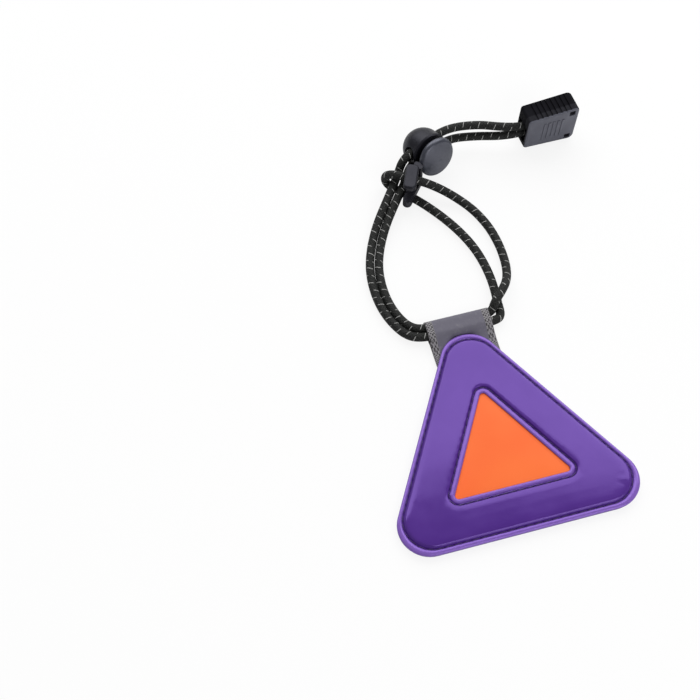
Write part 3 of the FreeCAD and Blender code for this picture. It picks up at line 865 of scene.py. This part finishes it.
@dataclass
class Pad:
    """Sewn pad: front film, foam, reflective insert, back film and their seams.

    A profile is a list of (distance from the edge, height). The edge seam lies at the distance
    seam, and distances from the window's edge run outwards.
    """

    film: Material
    foam: Material
    reflective: Material
    thread: Material
    outline: RoundedTriangle = RoundedTriangle(27.1, 10.0)
    edge_seam: RoundedTriangle = RoundedTriangle(25.5, 9.2, 0.25)
    window: RoundedTriangle = RoundedTriangle(11.5, 1.2)
    wall: float = 0.6
    seam: float = 1.5
    window_seam: float = 1.9
    pull: float = 0.14
    pull_width: float = 0.42
    firm_pull: float = 0.12
    # Paling of the films near their free edges, partly painted highlight.
    rim_pale_and_highlight: Fade = Fade(1.35, 0.3, 1.0)
    window_pale_and_highlight: Fade = Fade(1.5, 0.4, 0.8)
    shoulder: tuple[Point2, ...] = (
        (0.02, 1.62), (0.0, 2.05), (0.06, 2.33), (0.2, 2.54), (0.42, 2.66), (0.7, 2.7), (1.0, 2.69),
        (1.2, 2.6), (1.34, 2.43), (1.42, 2.33), (1.5, 2.28), (1.58, 2.32), (1.68, 2.44), (1.8, 2.64),
        (1.94, 2.88), (2.1, 3.1), (2.3, 3.27), (2.56, 3.38), (2.9, 3.45), (3.4, 3.49), (4.2, 3.5),
        (5.6, 3.5), (6.8, 3.5),
    )
    crown: tuple[Point2, ...] = ((0.25, 0.003), (0.5, 0.004), (0.75, 0.003))
    inner: tuple[Point2, ...] = (
        (6.2, 3.5), (4.6, 3.5), (3.3, 3.5), (2.62, 3.495), (2.45, 3.465), (2.34, 3.38), (2.26, 3.24),
        (2.19, 3.05), (2.12, 2.88), (2.04, 2.775), (1.96, 2.735), (1.9, 2.725), (1.84, 2.74),
        (1.74, 2.8), (1.6, 2.9), (1.42, 2.97), (1.05, 3.01), (0.5, 3.02), (0.16, 2.98), (0.0, 2.84),
        (0.0, 2.43),
    )
    foam_side: tuple[Point2, ...] = (
        (0.5, 0.62), (0.36, 0.95), (0.3, 1.3), (0.34, 1.56), (0.6, 2.0), (0.9, 1.98), (1.2, 1.36),
        (1.8, 1.36), (2.2, 1.98), (2.8, 2.4), (3.7, 2.7), (6.6, 2.84),
    )
    foam_inner: tuple[Point2, ...] = ((6.0, 2.84), (3.8, 2.74), (2.9, 2.52), (2.55, 2.36), (2.46, 1.87))
    strap_half: float = 11.3
    strap_end: float = 30.0
    strap_top: float = 1.53
    back_lip: Point2 = (0.34, 0.6)
    back_side: tuple[Point2, ...] = (
        (0.26, 0.48), (0.26, 0.3), (0.36, 0.12), (0.6, 0.02), (1.0, 0.0), (1.26, 0.12), (1.5, 0.2),
        (1.74, 0.12), (2.0, 0.0), (4.0, 0.0), (9.0, 0.0),
    )
    back_pale: float = 0.35
    back_pale_to: float = 1.0
    insert_lap: float = 2.3
    insert_heights: Point2 = (1.92, 2.37)
    dome: tuple[Point2, ...] = ((0.9, 2.39), (0.75, 2.45), (0.5, 2.54), (0.25, 2.6), (0.08, 2.62))
    stitch: float = 2.9
    stitch_fill: float = 0.49
    stitch_half: float = 0.25
    stitch_high: float = 0.42
    stitch_flat: float = 0.2
    slant: float = 7.0
    edge_z: float = 2.3
    window_z: float = 2.79
    back_z: float = 0.14

    def build(self) -> None:
        """Builds every piece of the pad."""
        self.front()
        self.filling()
        self.back()
        self.insert()
        window_seam = self.window.inset(-self.window_seam)
        self.seam_row("edge_stitches", "edge_thread", self.edge_seam, self.edge_z, self.stitch_high)
        self.seam_row("window_stitches", "window_thread", window_seam, self.window_z, self.stitch_high)
        self.seam_row("back_stitches", "back_thread", self.edge_seam, self.back_z, self.stitch_flat)

    def rhythm(self, path: RoundedTriangle) -> tuple[int, float]:
        """Works out a seam's stitches.

        Args:
            path: The seam's outline.

        Returns:
            The number of stitches and their spacing.
        """
        total = path.length()
        count = round(total / self.stitch)
        return count, total / count

    def pucker(self, path: RoundedTriangle, off: float) -> list[float]:
        """How far the film is pulled down round a seam, at each point of a ring.

        Args:
            path: The seam's own outline.
            off: Distance of the ring from the seam.

        Returns:
            Depths in millimetres.
        """
        _, pitch = self.rhythm(path)
        near = self.pull * math.exp(-((off / self.pull_width) ** 2))
        return [near * (0.5 + 0.5 * math.cos(FULL_TURN * place / pitch)) for place in path.stations()]

    def rim_ring(self, distance: float, z: float) -> list[Vector]:
        """One ring between the pad's edge and its seam, or inside the seam.

        Args:
            distance: Distance from the edge, in the profile's own measure.
            z: The ring's height.

        Returns:
            The points.
        """
        if distance >= self.seam:
            return self.edge_seam.inset(distance - self.seam).points(z)
        pairs = zip(self.outline.points(z), self.edge_seam.points(z))
        return [edge.lerp(sewn, distance / self.seam) for edge, sewn in pairs]

    @staticmethod
    def pulled(points: Sequence[Vector], dip: Sequence[float]) -> list[Vector]:
        """Points of one ring with the seam's pull taken off their height."""
        return [point - Vector((0.0, 0.0, depth)) for point, depth in zip(points, dip)]

    def front(self) -> None:
        """Quilted front film with its window."""
        bm = bmesh.new()
        window_seam = self.window.inset(-self.window_seam)
        shade = bm.verts.layers.float.new("rim")
        hold = bm.verts.layers.float.new("hold")
        skin = RingSkin(bm, closed=False)
        for distance, z in self.shoulder:
            dip = self.pucker(self.edge_seam, distance - self.seam)
            points = self.pulled(self.rim_ring(distance, z), dip)
            for vert, depth in zip(skin.grow(points), dip):
                # Partly painted highlight: the rim layer pales the film towards its outer edge.
                vert[shade] = self.rim_pale_and_highlight.at(distance)
                vert[hold] = 1.0 if distance < self.seam else min(1.0, depth / self.firm_pull)
        outer = self.rim_ring(*self.shoulder[-1])
        flat = self.window.inset(-self.inner[0][0]).points(self.inner[0][1])
        for part, lift in self.crown:
            skin.grow([a.lerp(b, part) + Vector((0.0, 0.0, lift)) for a, b in zip(outer, flat)])
        for distance, z in self.inner:
            dip = self.pucker(window_seam, distance - self.window_seam)
            points = self.pulled(self.window.inset(-distance).points(z), dip)
            for vert, depth in zip(skin.grow(points), dip):
                # Partly painted highlight: the film is paled near the window's cut edge.
                vert[shade] = self.window_pale_and_highlight.at(distance)
                vert[hold] = 1.0 if distance < self.window_seam else min(1.0, depth / self.firm_pull)
        put_in_order(bm)
        ClothRun().run(bm, [vert[hold] for vert in bm.verts])
        bm.verts.layers.float.remove(hold)
        cover = Piece("pad_front", Slot.FILM, self.film, "front_panel", 50.0).make(bm, self.wall)

    def filling(self) -> None:
        """Foam between the films, open at the apex for the strap."""
        bm = bmesh.new()
        skin = RingSkin(bm)
        for distance, z in self.foam_side:
            points = self.rim_ring(distance, z)
            for point in points:
                if point.y > self.strap_end and abs(point.x) < self.strap_half:
                    point.z = max(point.z, self.strap_top)
            skin.grow(points)
        for distance, z in self.foam_inner:
            skin.grow(self.window.inset(-distance).points(z))
        skin.close()
        foam = Piece("pad_foam", Slot.FOAM, self.foam, "foam_pad").make(bm)

    def back(self) -> None:
        """Back film with the groove of the seam."""
        bm = bmesh.new()
        shade = bm.verts.layers.float.new("rim")
        skin = RingSkin(bm)
        skin.grow(self.rim_ring(*self.back_lip))
        for distance, z in self.back_side:
            for vert in skin.grow(self.rim_ring(distance, z)):
                # Partly painted highlight: the back film's lip is paled where its side wall shows.
                vert[shade] = self.back_pale if distance < self.back_pale_to else 0.0
        skin.close()
        film = Piece("pad_back", Slot.FILM, self.film, "back_panel").make(bm)

    def insert(self) -> None:
        """Reflective insert, slightly domed behind the window."""
        bm = bmesh.new()
        skin = RingSkin(bm)
        edge = self.window.inset(-self.insert_lap)
        low, high = self.insert_heights
        skin.grow(edge.points(low))
        rim = edge.points(high)
        skin.grow(rim)
        for share, z in self.dome:
            skin.grow([Vector((point.x * share, point.y * share, z)) for point in rim])
        skin.close()
        Piece("insert_film", Slot.REFLECTIVE, self.reflective, "reflector_insert").make(bm)

    def seam_row(self, name: str, node: str, path: RoundedTriangle, z: float, height: float) -> None:
        """One row of slanted stitches along a seam.

        Args:
            name: Name of the row.
            node: CAD thread that it replaces.
            path: The seam's outline.
            z: Height of the stitches' middles.
            height: Height of a stitch.
        """
        bm = bmesh.new()
        bm.loops.layers.uv.new("thread")
        count, pitch = self.rhythm(path)
        size = Matrix.Diagonal((height / 2.0, self.stitch_half, pitch * self.stitch_fill, 1.0))
        lie = Matrix.Rotation(math.radians(90.0), 4, "Y")
        for index in range(count):
            middle, way = path.at((index + 0.5) * pitch)
            middle.z = z
            turn = Matrix.Rotation(math.atan2(way.y, way.x) + math.radians(self.slant), 4, "Z")
            matrix = Matrix.Translation(middle) @ turn @ lie @ size
            bmesh.ops.create_uvsphere(bm, u_segments=8, v_segments=8, radius=1.0, matrix=matrix,
                                      calc_uvs=True)
        Piece(name, Slot.THREAD, self.thread, node, 80.0).make(bm)


@dataclass
class Strap:
    """Ribbon folded over the two strands, with both ends sewn into the pad's apex.

    Points are (y, z). Each step of the descent has its place behind the pad's apex and its place
    beside the apex.
    """

    material: Material
    width: float = 22.0
    thick: float = 0.43
    near_y: float = 46.5
    far_y: float = 49.62
    strand_z: float = 2.1
    turn: float = 1.875
    columns: int = 44
    under: tuple[Point2, ...] = (
        (34.0, 0.83), (38.0, 0.83), (42.0, 0.83), (44.2, 0.82), (44.7, 0.5), (45.2, 0.26), (46.2, 0.23),
        (47.4, 0.23), (48.6, 0.23),
    )
    saddle: tuple[Point2, ...] = ((0.8, 0.04), (0.0, 0.06), (-0.8, 0.04))
    descent: tuple[tuple[Point2, Point2], ...] = (
        ((45.1, 3.42), (44.9, 3.42)), ((44.72, 3.05), (44.0, 2.96)), ((44.5, 2.55), (43.1, 2.5)),
        ((44.4, 2.05), (42.2, 2.08)), ((44.3, 1.62), (41.2, 1.72)), ((44.1, 1.36), (40.2, 1.48)),
        ((43.2, 1.28), (39.0, 1.34)), ((40.0, 1.28), (37.4, 1.28)), ((34.0, 1.28), (34.0, 1.28)),
    )
    apex_half: float = 2.5
    apex_blend: float = 4.5

    def arc(self, y: float, start: float, step: float, count: int) -> list[Point2]:
        """Points of the ribbon's turn round one strand.

        Args:
            y: The strand's place.
            start: Angle of the first point, in degrees.
            step: Degrees between two points.
            count: Number of points.

        Returns:
            The points.
        """
        angles = [math.radians(start + step * index) for index in range(count)]
        return [(y + self.turn * math.cos(angle), self.strand_z + self.turn * math.sin(angle))
                for angle in angles]

    def line(self) -> list[Point2]:
        """The ribbon's middle line from its lower end to its upper end.

        Returns:
            The points.
        """
        middle = (self.near_y + self.far_y) / 2.0
        top = self.strand_z + self.turn
        found = list(self.under) + self.arc(self.far_y, -90.0, 15.0, 13)
        found += [(middle + off, top - sag) for off, sag in self.saddle]
        found += self.arc(self.near_y, 90.0, 13.0, 3)
        return found + [behind for behind, _ in self.descent]

    def settle(self, x: float, index: int) -> Point2:
        """Place of the upper layer's descent at a distance from the ribbon's middle.

        Args:
            x: Distance across the ribbon.
            index: Step of the descent.

        Returns:
            The point.
        """
        behind, beside = self.descent[index]
        share = max(0.0, min(1.0, (abs(x) - self.apex_half) / self.apex_blend))
        share = share * share * (3.0 - 2.0 * share)
        return tuple(a + (b - a) * share for a, b in zip(behind, beside))

    def build(self) -> None:
        """Builds the ribbon."""
        bm = bmesh.new()
        line = self.line()
        run = bm.verts.layers.float.new("run")
        order = bm.verts.layers.int.new("order")
        verts = [bm.verts.new((-self.width / 2.0, y, z)) for y, z in line]
        first = len(line) - len(self.descent)
        length = 0.0
        for index, vert in enumerate(verts):
            if index:
                length += (vert.co - verts[index - 1].co).length
            vert[run] = length
            vert[order] = index - first
        edges: list[BMEdge] = [bm.edges.new(pair) for pair in zip(verts, verts[1:])]
        step = self.width / self.columns
        for _ in range(self.columns):
            made = bmesh.ops.extrude_edge_only(bm, edges=edges)["geom"]
            fresh = [item for item in made if isinstance(item, BMVert)]
            bmesh.ops.translate(bm, vec=(step, 0.0, 0.0), verts=fresh)
            edges = [item for item in made if isinstance(item, BMEdge) and set(item.verts) <= set(fresh)]
        for vert in bm.verts:
            if vert[order] >= 0:
                vert.co.y, vert.co.z = self.settle(vert.co.x, vert[order])
        cloth = bm.loops.layers.uv.new("cloth")
        for face in bm.faces:
            for corner in face.loops:
                corner[cloth].uv = (corner.vert.co.x + self.width / 2.0, corner.vert[run])
        piece = Piece("strap_ribbon", Slot.RIBBON, self.material, "strap", 60.0)
        ribbon = piece.make(bm, self.thick, 0.0)


@dataclass
class CordLoop:
    """One elastic cord, folded double, through the strap and the cord lock."""

    material: Material
    diameter: float = 3.0
    sides: int = 18
    fineness: int = 12
    route: tuple[Point3, ...] = (
        (52.07, 114.82, 9.42), (44.11, 114.16, 9.88), (37.00, 115.80, 9.90), (28.40, 119.60, 9.60),
        (17.39, 120.65, 9.73), (8.66, 116.66, 9.76), (-0.52, 112.68, 9.73), (-3.92, 108.67, 4.75),
        (-9.90, 100.40, 4.10), (-15.40, 93.20, 2.60), (-19.70, 85.40, 1.50), (-22.50, 77.60, 1.50),
        (-23.50, 69.80, 1.50), (-23.10, 62.20, 1.50), (-21.20, 55.20, 1.50), (-17.60, 48.85, 1.70),
        (-12.80, 46.50, 2.10), (-5.00, 46.45, 2.10), (5.00, 46.55, 2.10), (12.30, 46.45, 2.10),
        (15.20, 47.80, 1.60), (15.60, 53.20, 1.50), (16.30, 60.80, 1.50), (15.90, 68.40, 1.50),
        (14.40, 75.90, 1.50), (11.60, 83.10, 1.50), (7.70, 90.20, 1.50), (3.00, 97.00, 1.50),
        (-1.55, 102.38, 1.50), (-8.22, 108.93, 1.50), (-7.96, 109.24, 8.50), (3.01, 102.29, 8.50),
        (8.60, 100.30, 5.20), (13.80, 96.80, 2.60), (18.80, 90.60, 1.50), (21.90, 82.60, 1.50),
        (23.10, 74.60, 1.50), (23.00, 67.40, 1.50), (21.60, 61.50, 2.60), (18.80, 56.60, 5.20),
        (13.80, 51.80, 5.20), (12.30, 49.62, 2.05), (5.00, 49.67, 2.10), (-5.00, 49.57, 2.10),
        (-12.40, 49.62, 2.10), (-15.98, 51.97, 1.70), (-18.47, 56.74, 1.50), (-20.11, 62.79, 1.50),
        (-20.45, 69.70, 1.50), (-19.54, 76.83, 1.50), (-16.90, 84.19, 1.50), (-12.83, 91.54, 2.60),
        (-7.33, 98.80, 4.10), (-2.04, 105.35, 4.75), (1.81, 112.13, 5.16), (9.07, 115.26, 5.19),
        (17.98, 119.33, 5.16), (27.60, 117.60, 5.60), (36.40, 114.50, 6.50), (43.94, 114.05, 6.69),
        (51.90, 114.71, 6.23),
    )

    def centre_line(self) -> list[Vector]:
        """The smooth line along the route.

        Returns:
            Its points, in millimetres.
        """
        curve = bpy.data.curves.new("cord_route", "CURVE")
        curve.dimensions = "3D"
        curve.resolution_u = self.fineness
        spline = curve.splines.new("NURBS")
        spline.points.add(len(self.route) - 1)
        for knot, point in zip(spline.points, self.route):
            knot.co = (*point, 1.0)
        spline.order_u = 3
        spline.use_endpoint_u = True
        carrier = bpy.data.objects.new("cord_route", curve)
        bpy.context.scene.collection.objects.link(carrier)
        bpy.context.view_layer.update()
        sampled = bpy.data.meshes.new_from_object(carrier)
        found = [vert.co.copy() for vert in sampled.vertices]
        bpy.data.meshes.remove(sampled)
        bpy.data.objects.remove(carrier)
        bpy.data.curves.remove(curve)
        return found

    def build(self, riders: Sequence[Object]) -> None:
        """Builds the cord as a tube with a map of its braid.

        Args:
            riders: Pieces on the cord; not used.
        """
        line = self.centre_line()
        bm = bmesh.new()
        run = bm.verts.layers.float.new("run")
        place = bm.verts.layers.int.new("place")
        ways = [(after - before).normalized()
                for before, after in zip(line[:1] + line[:-1], line[1:] + line[-1:])]
        side = ways[0].orthogonal().normalized()
        turns = [FULL_TURN * step / self.sides for step in range(self.sides)]
        radius = self.diameter / 2.0
        skin = RingSkin(bm)
        length = 0.0
        for index, (middle, way) in enumerate(zip(line, ways)):
            if index:
                length += (middle - line[index - 1]).length
                side = ways[index - 1].rotation_difference(way) @ side
            side = (side - way * side.dot(way)).normalized()
            up = way.cross(side)
            spokes = [side * math.cos(turn) + up * math.sin(turn) for turn in turns]
            for step, vert in enumerate(skin.grow([middle + spoke * radius for spoke in spokes])):
                vert[run] = length
                vert[place] = step
        skin.close()
        braid = bm.loops.layers.uv.new("braid")
        for face in bm.faces:
            steps = {corner.vert[place] for corner in face.loops}
            wraps = steps == {0, self.sides - 1}
            for corner in face.loops:
                step = corner.vert[place]
                turn = self.sides if wraps and step == 0 else step
                corner[braid].uv = (turn / self.sides, corner.vert[run])
        cord = Piece("cord", Slot.CORD, self.material, "elastic_cord", 60.0).make(bm)
        LOG.info("cord length %.1f mm", length)


def dress(finishes: dict[str, Material]) -> list[Object]:
    """Gives CAD nodes their finishes.

    Args:
        finishes: The finish of each node, by the node's name.

    Returns:
        The nodes' objects.
    """
    for node, material in finishes.items():
        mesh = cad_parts[node].data
        mesh.materials.clear()
        mesh.materials.append(material)
        LOG.info("%s: %s", node, material.name)
    return [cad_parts[node] for node in finishes]


@dataclass
class CordLock:
    """Spring cord lock: body with its hook, button and spring."""

    shell: Material
    face: Material
    wire: Material
    middle: Point3 = (8.3, 115.5, 7.5375)
    heading: float = -66.0
    rise: float = 17.6
    pocket_floor: float = 6.9
    coil_radius: float = 2.0
    coil_span: Point2 = (-6.6, -3.4)
    turns: float = 3.5
    turn_steps: int = 24
    wire_thick: float = 0.5
    wire_sides: int = 10
    pressed: float = 0.46

    def build(self) -> list[Object]:
        """Dresses the lock's nodes and winds its spring.

        Returns:
            The pieces.
        """
        return dress({"lock_body": self.shell, "lock_button": self.face}) + [self.coil()]

    def coil(self) -> Object:
        """Spring in its pocket, wound at one fixed length.

        Returns:
            The spring.
        """
        low, high = self.coil_span
        steps = round(self.turn_steps * self.turns)
        bm = bmesh.new()
        upright = Matrix.Rotation(math.radians(90.0), 4, "X")
        stand = Matrix.Translation((self.coil_radius, 0.0, low)) @ upright
        bmesh.ops.create_circle(bm, segments=self.wire_sides, radius=self.wire_thick / 2.0, matrix=stand)
        bmesh.ops.spin(bm, geom=bm.verts[:] + bm.edges[:], axis=(0.0, 0.0, 1.0), cent=(0.0, 0.0, 0.0),
                       dvec=(0.0, 0.0, (high - low) / steps), angle=FULL_TURN * self.turns, steps=steps)
        bmesh.ops.holes_fill(bm, edges=[edge for edge in bm.edges if edge.is_boundary], sides=0)
        turn, tilt = math.radians(self.heading), math.radians(self.rise)
        way = Vector((math.cos(turn) * math.cos(tilt), math.sin(turn) * math.cos(tilt), math.sin(tilt)))
        middle = Vector(self.middle)
        place = Matrix.Translation(middle) @ way.to_track_quat("Z", "Y").to_matrix().to_4x4()
        bmesh.ops.transform(bm, matrix=place, verts=bm.verts)
        coil = Piece("lock_coil", Slot.SPRING, self.wire, "lock_spring", 60.0).make(bm)
        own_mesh(coil)
        return coil


@dataclass
class CordEnd:
    """Cord end: base with its snap lugs and the ribbed cover."""

    tray: Material
    lid: Material

    def build(self) -> list[Object]:
        """Dresses the cord end's nodes."""
        return dress({"cord_end_base": self.tray, "cord_end_cover": self.lid})


@dataclass(frozen=True)
class Lamp:
    """One soft panel that faces the tag, with its power in watts."""

    name: str
    place: Point3
    wide: float
    deep: float
    power: float
    aim: Point3 = (0.0, 30.0, 0.0)

    def build(self) -> None:
        """Hangs the lamp."""
        light = bpy.data.lights.new(self.name, "AREA")
        light.shape = "RECTANGLE"
        light.size = self.wide * MM
        light.size_y = self.deep * MM
        light.energy = self.power
        lamp = bpy.data.objects.new(self.name, light)
        stand_facing(lamp, self.place, self.aim)


def stand_facing(thing: Object, place: Point3, aim: Point3) -> None:
    """Stands a lamp or the camera somewhere and turns it towards a point.

    Args:
        thing: The object, which is added to the scene.
        place: Where it stands, in millimetres.
        aim: What it faces, in millimetres.
    """
    start = Vector(place) * MM
    thing.location = start
    thing.rotation_euler = (Vector(aim) * MM - start).to_track_quat("-Z", "Y").to_euler()
    bpy.context.scene.collection.objects.link(thing)


@dataclass
class Studio:
    """White table, soft lights and the camera."""

    floor: Material
    eye: Point3 = (-92.16, -154.24, 415.0)
    aim: Point3 = (-36.98, 49.52, 0.0)
    lens: float = 72.0
    sensor: float = 36.0
    table_half: float = 6000.0
    table_drop: float = 0.02
    ambient: float = 0.21
    lamps: tuple[Lamp, ...] = (
        Lamp("north_panel", (247.0, 918.0, 887.0), 2200.0, 1250.0, 23.7),
        Lamp("front_softbox", (270.0, -930.0, 850.0), 900.0, 460.0, 4.6),
        Lamp("low_softbox", (420.0, -760.0, 200.0), 700.0, 260.0, 1.5),
    )

    def build(self) -> None:
        """Builds the table, the lights, the world and the camera."""
        self.table()
        for lamp in self.lamps:
            lamp.build()
        self.world()
        self.camera()

    def table(self) -> None:
        """White floor under the tag."""
        bm = bmesh.new()
        bmesh.ops.create_grid(bm, x_segments=1, y_segments=1, size=self.table_half * MM)
        bmesh.ops.translate(bm, vec=(0.0, 0.0, -self.table_drop * MM), verts=bm.verts)
        mesh = bpy.data.meshes.new("table")
        bm.to_mesh(mesh)
        bm.free()
        mesh.materials.append(self.floor)
        top = bpy.data.objects.new("table", mesh)
        bpy.context.scene.collection.objects.link(top)

    def world(self) -> None:
        """Even white surroundings, pure white to the camera."""
        world = bpy.data.worlds.new("studio")
        world.use_nodes = True
        tree = world.node_tree
        tree.nodes.clear()
        output = tree.nodes.new("ShaderNodeOutputWorld")
        background = tree.nodes.new("ShaderNodeBackground")
        path = tree.nodes.new("ShaderNodeLightPath")
        level = tree.nodes.new("ShaderNodeMapRange")
        level.inputs["To Min"].default_value = self.ambient
        level.inputs["To Max"].default_value = 1.0
        tree.links.new(path.outputs["Is Camera Ray"], level.inputs["Value"])
        tree.links.new(level.outputs["Result"], background.inputs["Strength"])
        background.inputs["Color"].default_value = (1.0, 1.0, 1.0, 1.0)
        tree.links.new(background.outputs["Background"], output.inputs["Surface"])
        bpy.context.scene.world = world

    def camera(self) -> None:
        """Camera at the photograph's viewing angle."""
        lens = bpy.data.cameras.new("camera")
        lens.lens = self.lens
        lens.sensor_width = self.sensor
        camera = bpy.data.objects.new("camera", lens)
        stand_facing(camera, self.eye, self.aim)
        bpy.context.scene.camera = camera


def main() -> None:
    """Builds the tag piece by piece, then the studio."""
    logging.basicConfig(level=logging.INFO, format="%(name)s %(message)s")
    bpy.context.scene.view_settings.view_transform = "Standard"
    layers = (FilmFinish(), FoamFinish(), ReflectiveFinish(), ThreadFinish())
    Pad(*(layer.build() for layer in layers)).build()
    Strap(RibbonFinish().build()).build()
    shell = MouldedFinish("black_shell", (0.006, 0.0058, 0.0085), (0.010, 0.0096, 0.013), 0.42, 0.34)
    face = MouldedFinish("black_button", (0.034, 0.037, 0.049), (0.043, 0.046, 0.06), 0.33, 0.9)
    # The tray's near-black colour is painted shade, matching the cover's shaded narrow sides.
    tray = MouldedFinish("black_tray_side_shade", (0.005, 0.0048, 0.0065), (0.008, 0.0078, 0.01), 0.75, 0.06)
    lid = CoverFinish("black_lid", (0.094, 0.096, 0.118), (0.118, 0.121, 0.146), 0.4, 0.26)
    lock = CordLock(shell.build(), face.build(), SpringFinish().build()).build()
    end = CordEnd(tray.build(), lid.build()).build()
    CordLoop(CordFinish().build()).build(lock + end)
    Studio(FloorFinish().build()).build()
    bpy.context.view_layer.update()


if __name__ == "__main__":
    main()
